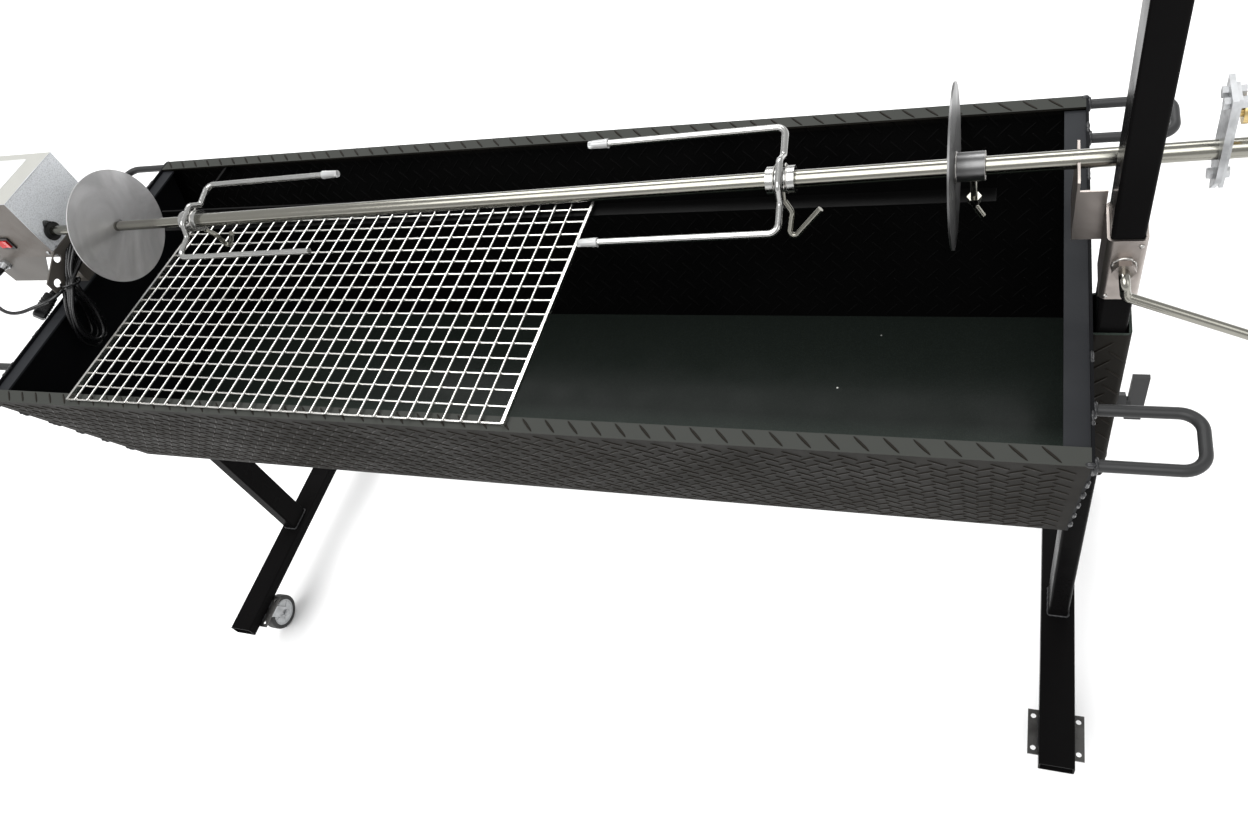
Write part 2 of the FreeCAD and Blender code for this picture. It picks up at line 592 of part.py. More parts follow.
def make_weight():
    """The counterbalance at the spit's free end: a plate, a strap, their bolts and a knob."""
    along = size("weight_place")
    bore = disc(size("spit_radius") + 0.05, -20, 60)
    outline = [(-20, 68), (20, 68), (20, -24), (0, -48), (-20, -24)]
    plate = polygon_prism([(0, y, z) for y, z in outline], X * 5).cut(bore)
    strap = polygon_prism([(5, y, z) for y, z in ((-13, 64), (13, 64), (13, -36), (-13, -36))], X * 4)
    strap = strap.cut(bore)
    knob = disc(11.5, 13, 8, X, (0, 42)).fuse(disc(5, 9, 5, X, (0, 42)))
    bolts = []
    for across, up in ((-8, 58), (8, 58), (0, -28)):
        hole = disc(3.05, -10, 30, X, (across, up))
        plate, strap = plate.cut(hole), strap.cut(hole)
        bolt = disc(3, -4, 13, X, (across, up))
        for start in (-5, 9):
            bolt = bolt.fuse(hexagon(10, (start, across, up), 5, X))
        bolts.append(on_spit("bolt_%d_%d" % (across, up), bolt.removeSplitter(), along))
    node(on_spit("weight_sheet", plate, along), "weight_plate")
    node(on_spit("weight_bar", strap, along), "weight_strap")
    node(group("bolt_set", bolts), "weight_bolts")
    node(on_spit("knob_parts", knob.removeSplitter(), along), "weight_knob")


def make_spit():
    """The tubular spit, thinner at the motor end, with its discs, forks and counterbalance."""
    tilt = math.radians(size("spit_tilt"))
    length = (size("spit_end") - size("spit_start")) / math.cos(tilt)
    neck = (size("neck_end") - size("spit_start")) / math.cos(tilt)
    rod = disc(size("neck_radius"), 0, neck).fuse(disc(size("spit_radius"), neck, length - neck))
    rod = rod.removeSplitter().cut(disc(size("spit_bore"), -1, length + 2))
    node(on_spit("rod", rod, size("spit_start")), "spit_rod")
    make_disc("left", size("disc_left"), -1, size("neck_radius"))
    make_disc("right", size("disc_right"), 1, size("spit_radius"))
    make_fork("left", size("fork_left"), 1, 13, 13, (1,))
    make_fork("right", size("fork_right"), -1, 25, -22, (1, -1))
    make_weight()


# ---- grill --------------------------------------------------------------------------------------

def make_grill():
    """A welded-wire grill: crossed wires between two edge bars, leaning back a little."""
    radius, pitch, front = size("wire_radius"), size("wire_pitch"), size("grill_front")
    left, right, back = size("grill_left"), size("grill_right"), size("rail_front") - 0.5
    layer = 2 * radius + 0.02
    solids = []
    for number in range(int(size("wires_along"))):
        across = front + number * pitch
        solids.append(Part.makeCylinder(radius, right - left - 8, FreeCAD.Vector(left + 4, across, 0), X))
    run = back - front + 3
    for number in range(int(size("wires_across"))):
        along = left + 17 + number * pitch
        solids.append(Part.makeCylinder(radius, run, FreeCAD.Vector(along, front - 3, layer), Y))
    for start in (left, right - 4):
        solids.append(Part.makeBox(4, run, 6, FreeCAD.Vector(start, front - 3, -radius)))
    mesh = shaped("mesh", Part.makeCompound(solids))
    lean = math.degrees(math.atan2(9, 110 - front))
    height = size("rim_height") + radius + 0.6
    turned = FreeCAD.Rotation(X, -lean)
    start = FreeCAD.Vector(0, front, 0)
    mesh.Placement = FreeCAD.Placement(FreeCAD.Vector(0, 0, height) + start - turned.multVec(start), turned)
    node(mesh, "mesh_grill")


make_trough()
make_rail()
make_handles()
node(group("clamp_nuts", [make_end_frame(side, sign) for side, sign in SIDES.items()]), "socket_nuts")
make_casters()
make_post()
make_sleeve()
make_motor()
make_cord()
make_spit()
make_grill()
doc.recompute()

for piece in doc.Objects:
    if "Invalid" in piece.State or "Error" in piece.State:
        raise SystemExit("%s did not compute: %s" % (piece.Name, piece.State))
for piece in nodes:
    if piece.Shape.isNull() or not piece.Shape.isValid() or not piece.Shape.Solids:
        raise SystemExit("%s has no valid solid" % piece.Label)

os.makedirs("parts", exist_ok=True)
for piece in nodes:
    piece.Shape.exportStep("parts/%s.step" % piece.Label)
print(len(nodes), "sub-parts written")
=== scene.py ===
"""Looks of the charcoal spit roaster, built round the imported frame.

Metres, +Z up, +X away from the motor.
"""
import json
import math
import random

import bmesh
import bpy
from mathutils import Matrix, Vector


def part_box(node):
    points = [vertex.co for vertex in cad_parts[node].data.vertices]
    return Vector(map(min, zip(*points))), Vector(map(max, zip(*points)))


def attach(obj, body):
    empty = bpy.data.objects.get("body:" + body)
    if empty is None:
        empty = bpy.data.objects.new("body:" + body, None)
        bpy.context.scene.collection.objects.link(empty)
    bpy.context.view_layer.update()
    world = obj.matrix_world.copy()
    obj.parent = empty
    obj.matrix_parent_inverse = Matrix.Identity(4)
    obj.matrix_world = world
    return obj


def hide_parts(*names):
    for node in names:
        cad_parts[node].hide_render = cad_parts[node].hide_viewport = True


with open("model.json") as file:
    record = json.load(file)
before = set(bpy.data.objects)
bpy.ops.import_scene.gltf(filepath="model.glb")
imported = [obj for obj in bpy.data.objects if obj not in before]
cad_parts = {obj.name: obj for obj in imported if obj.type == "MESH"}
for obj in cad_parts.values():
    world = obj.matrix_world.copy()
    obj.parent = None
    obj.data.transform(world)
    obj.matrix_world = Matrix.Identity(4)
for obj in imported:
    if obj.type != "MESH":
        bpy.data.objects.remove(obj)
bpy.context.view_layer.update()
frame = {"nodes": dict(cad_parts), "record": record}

random.seed(12)
MM = 0.001
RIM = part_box("trough_pan")[1].z
FLOOR_HALF = 173.5 * MM         # half the width of the pan's floor
CASTER_HALF = 272 * MM          # from the middle to each caster's kingpin
BEAD_STEP = 2.6 * MM            # from one ring of a weld bead to the next
SPIT_SLOPE = math.tan(math.radians(1.625))
PLATES = {"left": -0.596, "right": 0.625}       # where each guard disc stands along the spit
HUBS = {"left": -0.438, "right": 0.444}         # where each meat fork stands along the spit


# ---- camera and light ---------------------------------------------------------------------------

SENSOR, LENS = 36, 27
CAMERA_SPOT = (0.6777, -0.8074, RIM + 0.8114)
CAMERA_RIGHT = (0.9280, 0.2518, -0.2747)
CAMERA_BACK = (0.3697, -0.5301, 0.7631)         # away from what the camera looks at
FLOOR_REACH = 60
WORLD_STRENGTH, SUN_STRENGTH, SUN_SPREAD = 0.66, 2.3, math.radians(50)


def make_camera():
    """A wide lens above the near right-hand corner, looking down along the trough."""
    data = bpy.data.cameras.new("camera")
    data.sensor_width, data.lens = SENSOR, LENS
    data.clip_start = 0.05
    right = Vector(CAMERA_RIGHT).normalized()
    back = Vector(CAMERA_BACK).normalized()
    up = back.cross(right).normalized()
    right = up.cross(back)
    turn = Matrix((right, up, back)).transposed().to_4x4()
    camera = bpy.data.objects.new("camera", data)
    camera.matrix_world = Matrix.Translation(CAMERA_SPOT) @ turn
    bpy.context.collection.objects.link(camera)
    bpy.context.scene.camera = camera


def area_light(name, spot, aim, width, height, power):
    data = bpy.data.lights.new(name, "AREA")
    data.shape, data.size, data.size_y, data.energy = "RECTANGLE", width, height, power
    lamp = bpy.data.objects.new(name, data)
    lamp.location = spot
    lamp.rotation_euler = (Vector(aim) - Vector(spot)).to_track_quat("-Z", "Y").to_euler()
    bpy.context.collection.objects.link(lamp)


def make_stage():
    """A pale floor, a soft white surround, a broad overhead light and two soft panels."""
    mesh = bpy.data.meshes.new("floor")
    corners = [(x * FLOOR_REACH, y * FLOOR_REACH, 0) for x, y in ((-1, -1), (1, -1), (1, 1), (-1, 1))]
    mesh.from_pydata(corners, [], [(0, 1, 2, 3)])
    floor = bpy.data.objects.new("floor", mesh)
    bpy.context.collection.objects.link(floor)
    floor.data.materials.append(painted("floor_paint", (0.93, 0.93, 0.93), 0.85, grain=30, bump=0.0))
    world = bpy.data.worlds.new("studio")
    bpy.context.scene.world = world
    world.use_nodes = True
    background = world.node_tree.nodes["Background"]
    background.inputs["Color"].default_value = (1, 1, 1, 1)
    background.inputs["Strength"].default_value = WORLD_STRENGTH
    sun = bpy.data.lights.new("overhead", "SUN")
    sun.energy, sun.angle = SUN_STRENGTH, SUN_SPREAD
    lamp = bpy.data.objects.new("overhead", sun)
    lamp.rotation_euler = Vector((0.25, 0.62, -1)).to_track_quat("-Z", "Y").to_euler()
    bpy.context.collection.objects.link(lamp)
    area_light("window", (-1.0, 3.2, 5.2), (0.2, 0, 0.6), 5.2, 2.6, 230)
    area_light("side", (3.4, -0.8, 2.0), (0.4, 0, 0.8), 1.6, 1.6, 14)
    bpy.context.scene.view_settings.view_transform = "Standard"


# ---- materials ----------------------------------------------------------------------------------

class Shader:
    """A Principled material and short calls that add nodes to it."""

    def __init__(self, name, color, roughness, metallic=0.0):
        self.material = bpy.data.materials.new(name)
        self.material.use_nodes = True
        self.material.diffuse_color = (*color, 1)
        self.tree = self.material.node_tree
        self.surface = self.tree.nodes["Principled BSDF"]
        self.surface.inputs["Metallic"].default_value = metallic
        self.surface.inputs["Roughness"].default_value = roughness
        self.surface.inputs["Base Color"].default_value = (*color, 1)
        self.coordinates = self.tree.nodes.new("ShaderNodeTexCoord").outputs["Object"]
        self.height = None

    def add(self, kind, inputs, **settings):
        node = self.tree.nodes.new(kind)
        for key, value in settings.items():
            setattr(node, key, value)
        for key, value in inputs.items():
            if isinstance(value, bpy.types.NodeSocket):
                self.tree.links.new(value, node.inputs[key])
            else:
                node.inputs[key].default_value = value
        return node

    def stretched(self, scale):
        mapping = self.add("ShaderNodeMapping", {"Vector": self.coordinates, "Scale": scale})
        return mapping.outputs["Vector"]

    def noise(self, scale, detail=4, vector=None):
        inputs = {"Vector": vector or self.coordinates, "Scale": scale, "Detail": detail}
        return self.add("ShaderNodeTexNoise", inputs).outputs["Fac"]

    def ramp(self, value, low, high, from_value=0.0, to_value=1.0):
        inputs = {"Value": value, "From Min": low, "From Max": high, "To Min": from_value,
                  "To Max": to_value}
        return self.add("ShaderNodeMapRange", inputs).outputs["Result"]

    def mixed(self, factor, first, second):
        node = self.add("ShaderNodeMix", {}, data_type="RGBA")
        for key, value in ((0, factor), (6, first), (7, second)):
            if isinstance(value, bpy.types.NodeSocket):
                self.tree.links.new(value, node.inputs[key])
            elif key == 0:
                node.inputs[key].default_value = value
            else:
                node.inputs[key].default_value = (*value, 1)
        return node.outputs[2]

    def times(self, first, second):
        return self.add("ShaderNodeMath", {0: first, 1: second}, operation="MULTIPLY").outputs[0]

    def plus(self, first, second):
        return self.add("ShaderNodeMath", {0: first, 1: second}, operation="ADD").outputs[0]

    def set(self, name, socket):
        self.tree.links.new(socket, self.surface.inputs[name])

    def bump(self, height, distance, strength=1.0):
        inputs = {"Height": height, "Distance": distance, "Strength": strength}
        if self.height:
            inputs["Normal"] = self.height
        self.height = self.add("ShaderNodeBump", inputs).outputs["Normal"]
        self.set("Normal", self.height)


def scaled(color, factor):
    return tuple(value * factor for value in color)


def painted(name, color, roughness, grain=220, bump=0.00012, dust=0.12, gloss=0.25):
    """Brush or spray paint: fine orange peel, cloudy tone and a little dust."""
    shader = Shader(name, color, roughness)
    shader.surface.inputs["Specular IOR Level"].default_value = gloss
    clouds = shader.noise(5, 5)
    light = tuple(min(1, value * 1.7 + 0.004) for value in color)
    tone = shader.mixed(shader.ramp(clouds, 0.3, 0.75, 0.0, dust * 4), color, light)
    shader.set("Base Color", tone)
    patches = shader.noise(14, 6)
    shader.set("Roughness", shader.ramp(patches, 0.3, 0.7, roughness - 0.07, roughness + 0.09))
    if bump:
        shader.bump(shader.noise(grain, 3), bump, 0.6)
        shader.bump(shader.noise(16, 2), bump * 3, 0.25)
    return shader.material


def brushed(name, color, roughness, grain=(8, 900, 900), cloud=0.12, bump=0.000008):
    """Bare metal with fine drawing lines along one axis and cloudy handling marks."""
    shader = Shader(name, color, roughness, 1.0)
    lines = shader.noise(1, 3, shader.stretched(grain))
    clouds = shader.noise(26, 5)
    dull = scaled(color, 0.72)
    shader.set("Base Color", shader.mixed(shader.ramp(clouds, 0.35, 0.75, 0, cloud * 2), color, dull))
    streaks = shader.ramp(lines, 0.3, 0.7, roughness - 0.02, roughness + 0.03)
    smears = shader.ramp(clouds, 0.3, 0.8, -0.03, 0.06)
    shader.set("Roughness", shader.plus(streaks, smears))
    shader.bump(lines, bump, 0.5)
    return shader.material


def spun(name, color, roughness):
    """Sheet metal polished with a random sander: short swirls and cloudy patches, no one direction."""
    shader = Shader(name, color, roughness, 1.0)
    swirl = shader.add("ShaderNodeTexNoise", {"Vector": shader.coordinates, "Scale": 9, "Detail": 6,
                                              "Distortion": 2.2}).outputs["Fac"]
    fine = shader.noise(700, 2, shader.stretched((1, 0.12, 1)))
    dull = scaled(color, 0.68)
    shader.set("Base Color", shader.mixed(shader.ramp(swirl, 0.35, 0.7), color, dull))
    shader.set("Roughness", shader.ramp(swirl, 0.3, 0.7, roughness - 0.05, roughness + 0.13))
    shader.bump(fine, 0.00003, 0.4)
    return shader.material


def zinc(name, color, roughness):
    """Zinc plate with faint spangle and darker corrosion blooms."""
    shader = Shader(name, color, roughness, 0.9)
    cells = shader.add("ShaderNodeTexVoronoi", {"Vector": shader.coordinates, "Scale": 240})
    blooms = shader.noise(34, 6)
    tone = shader.mixed(shader.ramp(blooms, 0.5, 0.78), color, scaled(color, 0.45))
    shader.set("Base Color", tone)
    spangle = cells.outputs["Distance"]
    shader.set("Roughness", shader.ramp(spangle, 0, 0.8, roughness - 0.05, roughness + 0.15))
    shader.bump(blooms, 0.00015, 0.4)
    return shader.material


def facing(shader, direction, low, high):
    """A mask of the faces that look along a direction."""
    normal = shader.add("ShaderNodeNewGeometry", {}).outputs["True Normal"]
    dot = shader.add("ShaderNodeVectorMath", {0: normal, 1: direction}, operation="DOT_PRODUCT")
    return shader.ramp(dot.outputs["Value"], low, high)


def hammertone(name, color, shade, top):
    """Silver hammer paint with fine round dimples.

    Tone is painted by which way a face looks: the lid gets a painted beige-grey light tone, the front a
    brown-grey painted shade, and the back and left a darker painted shade of the silver.
    """
    shader = Shader(name, color, 0.34, 0.2)
    cells = shader.add("ShaderNodeTexVoronoi", {"Vector": shader.coordinates, "Scale": 520},
                       feature="SMOOTH_F1").outputs["Distance"]
    dimples = shader.ramp(cells, 0.2, 0.7)
    specks = shader.mixed(dimples, color, scaled(color, 0.74))
    # Painted shade: the back and left faces take a darker copy of the silver.
    back = shader.mixed(dimples, scaled(color, 0.55), scaled(color, 0.4))
    # Painted shade on the front face (brown-grey) and a painted beige-grey light tone on the lid, chosen
    # by face direction.
    tone = shader.mixed(facing(shader, (0, -1, 0), 0.6, 0.8), specks, shade)
    tone = shader.mixed(facing(shader, (0, 0, 1), 0.6, 0.8), tone, top)
    tone = shader.mixed(facing(shader, (0, 1, 0), 0.6, 0.8), tone, back)
    tone = shader.mixed(facing(shader, (-1, 0, 0), 0.6, 0.8), tone, back)
    shader.set("Base Color", tone)
    shader.set("Roughness", shader.ramp(shader.noise(60, 3), 0.3, 0.7, 0.3, 0.46))
    shader.bump(cells, 0.0003, 0.6)
    return shader.material


def pan_paint(name, outside, inside, bed):
    """The pan's paint: warm charcoal outside, a greyer rim, inner walls painted near black as shade, and a
    green-grey bed.

    The bed has light specks and a painted sheen that lightens it towards the front.
    """
    shader = Shader(name, outside, 0.46)
    shader.surface.inputs["Specular IOR Level"].default_value = 0.035
    place = shader.add("ShaderNodeNewGeometry", {}).outputs["Position"]
    spot = shader.add("ShaderNodeSeparateXYZ", {"Vector": place}).outputs
    height = spot["Z"]
    clouds = shader.ramp(shader.noise(6, 5), 0.3, 0.75)
    warm = shader.mixed(clouds, outside, scaled(outside, 1.5))
    # Painted shade: the inner walls get a near-black tone.
    inner_shade = shader.mixed(clouds, inside, scaled(inside, 1.9))
    powder = shader.ramp(shader.noise(900, 2), 0.45, 0.75)
    bed_tone = shader.mixed(powder, bed, scaled(bed, 1.7))
    # Painted sheen: the bed is lightened towards the front, standing for the bright surround reflected
    # there.
    front_sheen = shader.mixed(powder, scaled(bed, 7), scaled(bed, 10))
    bed_tone = shader.mixed(shader.ramp(spot["Y"], -0.02, -0.16), bed_tone, front_sheen)
    cells = shader.add("ShaderNodeTexVoronoi", {"Vector": shader.coordinates, "Scale": 30})
    spots = shader.ramp(cells.outputs["Distance"], 0.05, 0.035)
    few = shader.times(spots, shader.ramp(shader.noise(9, 2), 0.6, 0.63))
    bed_tone = shader.mixed(few, bed_tone, (0.62, 0.63, 0.6))
    below = shader.ramp(height, RIM - 0.01, RIM - 0.02)
    above = shader.ramp(height, RIM - 0.02, RIM - 0.01)
    flat = facing(shader, (0, 0, 1), 0.9, 0.95)
    inner = shader.times(facing(shader, (0, 0, 1), 0.05, 0.1), below)
    level = shader.times(flat, below)
    rim = shader.times(flat, above)
    tone = shader.mixed(level, shader.mixed(inner, warm, inner_shade), bed_tone)
    tone = shader.mixed(rim, tone, (0.046, 0.048, 0.044))
    shader.set("Base Color", tone)
    patches = shader.noise(14, 6)
    rough = shader.ramp(patches, 0.3, 0.7, 0.5, 0.64)
    shader.set("Roughness", shader.plus(rough, shader.times(level, -0.36)))
    shader.bump(shader.noise(220, 3), 0.00012, 0.6)
    shader.bump(shader.noise(1100, 2), 0.00004, 0.5)
    return shader.material


def moulded(name, color, roughness, clear=0.0, grain=900):
    """Moulded plastic or rubber with a fine matt grain and slight tone changes."""
    shader = Shader(name, color, roughness)
    shader.surface.inputs["Transmission Weight"].default_value = clear
    clouds = shader.noise(40, 4)
    worn = tuple(min(1, value * 1.4 + 0.003) for value in color)
    shader.set("Base Color", shader.mixed(shader.ramp(clouds, 0.35, 0.8), color, worn))
    wear = shader.noise(90, 3)
    shader.set("Roughness", shader.ramp(wear, 0.3, 0.7, roughness - 0.06, roughness + 0.1))
    shader.bump(shader.noise(grain, 2), 0.00005, 0.5)
    return shader.material


def make_materials():
    """One material for each slot of the record, and a few more for single nodes and added pieces."""
    # inside is the inner walls' painted shade.
    outside, inside, bed = (0.0120, 0.0110, 0.0095), (0.001, 0.001, 0.001), (0.0085, 0.011, 0.0094)
    black = (0.004, 0.0038, 0.0039)
    return {
        "tread_plate": pan_paint("tread_plate_black", outside, inside, bed),
        "trough_paint": painted("trough_charcoal", (0.0055, 0.0058, 0.0066), 0.46, gloss=0.035),
        "strip_paint": painted("strip_grey", (0.0175, 0.0185, 0.0205), 0.38, dust=0.2, gloss=0.045),
        "tread_bar": painted("tread_bar_paint", (0.012, 0.0102, 0.008), 0.48, gloss=0.07),
        # Painted shade: a near-black copy of the trough paint for the rails and tread ghosts inside the
        # trough.
        "inner_shade": painted("inner_painted_shade", (0.0016, 0.0016, 0.0016), 0.5, dust=0.02, gloss=0.06),
        "handle_paint": painted("handle_black", (0.024, 0.0245, 0.025), 0.4),
        "frame_paint": painted("frame_black", black, 0.26, bump=0.00008, dust=0.06, gloss=0.012),
        "zinc": zinc("zinc_plate", (0.50, 0.51, 0.52), 0.32),
        "stainless": brushed("stainless_drawn", (0.29, 0.284, 0.25), 0.17),
        # The second colour is the housing front's painted shade, the third the lid's painted light tone.
        "hammertone": hammertone("hammer_silver", (0.90, 0.93, 0.96), (0.10, 0.085, 0.072),
                                 (0.43, 0.43, 0.40)),
        "cast_case": zinc("cast_aluminium", (0.45, 0.46, 0.47), 0.45),
        "steel": brushed("turned_steel", (0.42, 0.42, 0.42), 0.3),
        "bush_plastic": moulded("bush_black", (0.012, 0.012, 0.012), 0.5),
        "black_plastic": moulded("bezel_black", (0.015, 0.015, 0.015), 0.4),
        "red_plastic": moulded("rocker_red", (0.62, 0.012, 0.012), 0.18, clear=0.15),
        "cord_rubber": moulded("cord_black", (0.005, 0.005, 0.0055), 0.22),
        "clear_plastic": moulded("cap_milky", (0.86, 0.87, 0.87), 0.16, clear=0.7),
        "brass": brushed("brass_turned", (0.62, 0.47, 0.22), 0.28),
        "wire": brushed("wire_plated", (0.74, 0.73, 0.70), 0.24, grain=(300, 300, 300)),
        "hub_plastic": moulded("hub_grey", (0.42, 0.43, 0.44), 0.35),
        "tyre": moulded("tyre_black", (0.02, 0.02, 0.02), 0.6),
        "sleeve_metal": spun("sleeve_stainless", (0.40, 0.36, 0.335), 0.3),
        "plate_dull": zinc("caster_plate_dull", (0.10, 0.098, 0.095), 0.4),
        "weld_steel": brushed("weld_bright", (0.44, 0.43, 0.41), 0.3, grain=(200, 200, 200)),
        "hammertone_edge": painted("cover_edge", (0.5, 0.52, 0.54), 0.3, dust=0.1, gloss=0.5),
        "disc_metal": spun("disc_stainless", (0.68, 0.675, 0.68), 0.4),
        # Painted shade: the right disc, seen nearly edge-on, gets a darker copy of the disc metal.
        "disc_shaded": spun("disc_painted_shade", (0.17, 0.17, 0.17), 0.34),
        "fork_metal": brushed("fork_polished", (0.46, 0.46, 0.45), 0.2),
        "weld": painted("weld_paint", (0.016, 0.0165, 0.018), 0.32, grain=500, bump=0.0004, gloss=0.4),
        # Painted shade: the motor bracket takes the brown-grey of the housing's painted front shade.
        "bracket_shade_brown": painted("bracket_shade_brown", (0.085, 0.077, 0.068), 0.36, dust=0.1, gloss=0.3),
        "label": painted("label_white", (0.62, 0.63, 0.62), 0.5, bump=0.00002, dust=0.02),
    }


def dress_frame(materials):
    """Give every CAD node its slot's material, or its own, and soften the edges of formed sheet."""
    slots = {entry["node"]: entry["material_slot"] for entry in frame["record"]["subparts"]}
    own = {"disc_left": "disc_metal", "disc_right": "disc_shaded", "fork_left": "fork_metal",
           "fork_right": "fork_metal", "post_sleeve": "sleeve_metal", "caster_plates": "plate_dull",
           "motor_bracket": "bracket_shade_brown", "grill_rail": "inner_shade", "rail_arms": "inner_shade"}
    soft = ("trough_pan", "end_wall_left", "end_wall_right", "end_strips", "grill_rail", "rail_arms",
            "motor_housing", "motor_bracket", "t_screw_left", "t_screw_right", "socket_nuts",
            "caster_plates", "weight_plate", "weight_strap", "weight_bolts", "weight_knob",
            "switch_bezel", "switch_rocker", "cable_gland", "post_sleeve")
    for name, piece in frame["nodes"].items():
        material = materials[own.get(name, slots[name])]
        for slot in piece.material_slots:
            slot.material = material
        if name in soft or name.startswith("caster_fork"):
            bevel = piece.modifiers.new("edge", "BEVEL")
            bevel.width, bevel.segments = 0.7 * MM, 2
            bevel.limit_method, bevel.angle_limit = "ANGLE", math.radians(40)
            bevel.harden_normals = False


# ---- shared mesh work ---------------------------------------------------------------------------

def piece_from(name, vertices, faces, material, body, smooth=True):
    """Turn points and faces into a piece that rides on a body."""
    mesh = bpy.data.meshes.new(name)
    mesh.from_pydata([tuple(point) for point in vertices], [], faces)
    mesh.validate()
    work = bmesh.new()
    work.from_mesh(mesh)
    bmesh.ops.recalc_face_normals(work, faces=work.faces)
    work.to_mesh(mesh)
    work.free()
    mesh.polygons.foreach_set("use_smooth", [smooth] * len(mesh.polygons))
    mesh.materials.append(material)
    piece = bpy.data.objects.new(name, mesh)
    bpy.context.collection.objects.link(piece)
    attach(piece, body)
    return piece


class Soup:
    """Many small closed shapes gathered into one mesh."""

    def __init__(self):
        self.vertices, self.faces = [], []

    def loops(self, rings, closed_ends=True):
        """Skin a list of equal rings of points."""
        start, count = len(self.vertices), len(rings[0])
        for ring in rings:
            self.vertices.extend(ring)
        for level in range(len(rings) - 1):
            low = start + level * count
            for number in range(count):
                following = (number + 1) % count
                self.faces.append((low + number, low + following, low + count + following,
                                   low + count + number))
        if closed_ends:
            self.faces.append(tuple(range(start + count - 1, start - 1, -1)))
            last = start + (len(rings) - 1) * count
            self.faces.append(tuple(range(last, last + count)))

    def lens(self, centre, along, across, out, length, width, height):
        """A raised tread bar: a long lens lying on a face."""
        rings = []
        for step in (-1.0, -0.8, -0.35, 0.35, 0.8, 1.0):
            wide = width / 2 * math.sqrt(max(0.02, 1 - step * step * 0.96))
            spot = centre + along * (length / 2 * step)
            rise = height * (0.25 if abs(step) == 1 else 1)
            rings.append([spot - across * wide - out * 0.0002, spot - across * wide * 0.45 + out * rise,
                          spot + across * wide * 0.45 + out * rise, spot + across * wide - out * 0.0002])
        self.loops(rings)

    def tube(self, path, radius, sides=8, ripple=0.0, wave=0.0):
        """A round bar along points, optionally rippled like a weld bead."""
        rings = []
        for number, point in enumerate(path):
            before, after = path[max(0, number - 1)], path[min(len(path) - 1, number + 1)]
            forward = (after - before).normalized()
            side = forward.orthogonal().normalized()
            if abs(forward.z) < 0.9:
                side = forward.cross(Vector((0, 0, 1))).normalized()
            lift = side.cross(forward)
            swell = radius * (1 + ripple * math.sin(number * 1.7) + wave * random.uniform(-1, 1))
            if number in (0, len(path) - 1):
                swell *= 0.35
            rings.append([point + (side * math.cos(turn * 2 * math.pi / sides)
                                   + lift * math.sin(turn * 2 * math.pi / sides)) * swell
                          for turn in range(sides)])
        self.loops(rings)

    def piece(self, name, material, body, slot, smooth=True):
        return piece_from(name, self.vertices, self.faces, material, body, smooth)


def stretch(start, end, step):
    """Evenly spaced points from start to end."""
    start, end = Vector(start), Vector(end)
    count = max(2, round((end - start).length / step))
    return [start.lerp(end, number / count) for number in range(count + 1)]


# ---- tread plate --------------------------------------------------------------------------------

TREAD_PITCH, TREAD_LENGTH, TREAD_WIDTH, TREAD_HEIGHT = 29.5 * MM, 27 * MM, 3.6 * MM, 1.0 * MM


def tread_field(soup, origin, right, up, out, width, height, relief=1.0):
    """Cover a rectangle with bars leaning both ways in turn."""
    margin = TREAD_LENGTH * 0.36
    half_turn = math.sqrt(0.5)
    rows, columns = int(height / TREAD_PITCH * 2) + 1, int(width / TREAD_PITCH * 2) + 1
    for row in range(rows):
        for column in range(columns):
            if (row + column) % 2:
                continue
            across, rise = column * TREAD_PITCH / 2, row * TREAD_PITCH / 2
            if not (margin < across < width - margin and margin < rise < height - margin):
                continue
            lean = 1 if row % 2 else -1
            along = (right * half_turn + up * half_turn * lean)
            spot = origin + right * across + up * rise
            soup.lens(spot, along, along.cross(out), out, TREAD_LENGTH, TREAD_WIDTH, TREAD_HEIGHT * relief)


def make_tread(materials):
    """Tread relief on the long walls, the folded rims and the post sockets."""
    low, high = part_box("trough_pan")
    slope = Vector((0, high.y - FLOOR_HALF, high.z - low.z)).normalized()
    wall_height = (Vector((0, high.y, high.z)) - Vector((0, FLOOR_HALF, low.z))).length
    right = Vector((1, 0, 0))
    soup = Soup()
    for sign in (-1, 1):
        up = Vector((0, slope.y * sign, slope.z))
        out = Vector((0, slope.z * sign, -slope.y))
        tread_field(soup, Vector((low.x, sign * FLOOR_HALF, low.z)), right, up, out,
                    high.x - low.x, wall_height)
        count = int((high.x - low.x) / TREAD_PITCH)
        for number in range(count):
            spot = Vector((low.x + (number + 0.5) * TREAD_PITCH, sign * (high.y - 11.5 * MM), high.z))
            along = Vector((1, -1, 0)).normalized()
            soup.lens(spot, along, along.cross(Vector((0, 0, 1))), Vector((0, 0, 1)), 25 * MM,
                      TREAD_WIDTH, TREAD_HEIGHT)
    soup.piece("tread_bars", materials["tread_bar"], "trough", "tread_plate")
    ghosts = Soup()
    out = Vector((0, -slope.z, slope.y))
    inner = Vector((low.x, FLOOR_HALF - 3.2 * MM, low.z))
    tread_field(ghosts, inner, right, Vector((0, slope.y, slope.z)), out, high.x - low.x,
                wall_height - 8 * MM, relief=0.3)
    ghosts.piece("tread_ghosts", materials["inner_shade"], "trough", "trough_paint")
    for side, sign in (("left", -1), ("right", 1)):
        low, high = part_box("post_socket_" + side)
        soup = Soup()
        tread_field(soup, Vector((low.x, low.y, low.z)), right, Vector((0, 0, 1)), Vector((0, -1, 0)),
                    high.x - low.x, high.z - low.z)
        face = high.x if sign > 0 else low.x
        tread_field(soup, Vector((face, low.y, low.z)), Vector((0, 1, 0)), Vector((0, 0, 1)),
                    Vector((sign, 0, 0)), high.y - low.y, 75 * MM)
        soup.piece("socket_tread_" + side, materials["tread_bar"], "trough", "tread_plate")


# ---- mains cord ---------------------------------------------------------------------------------


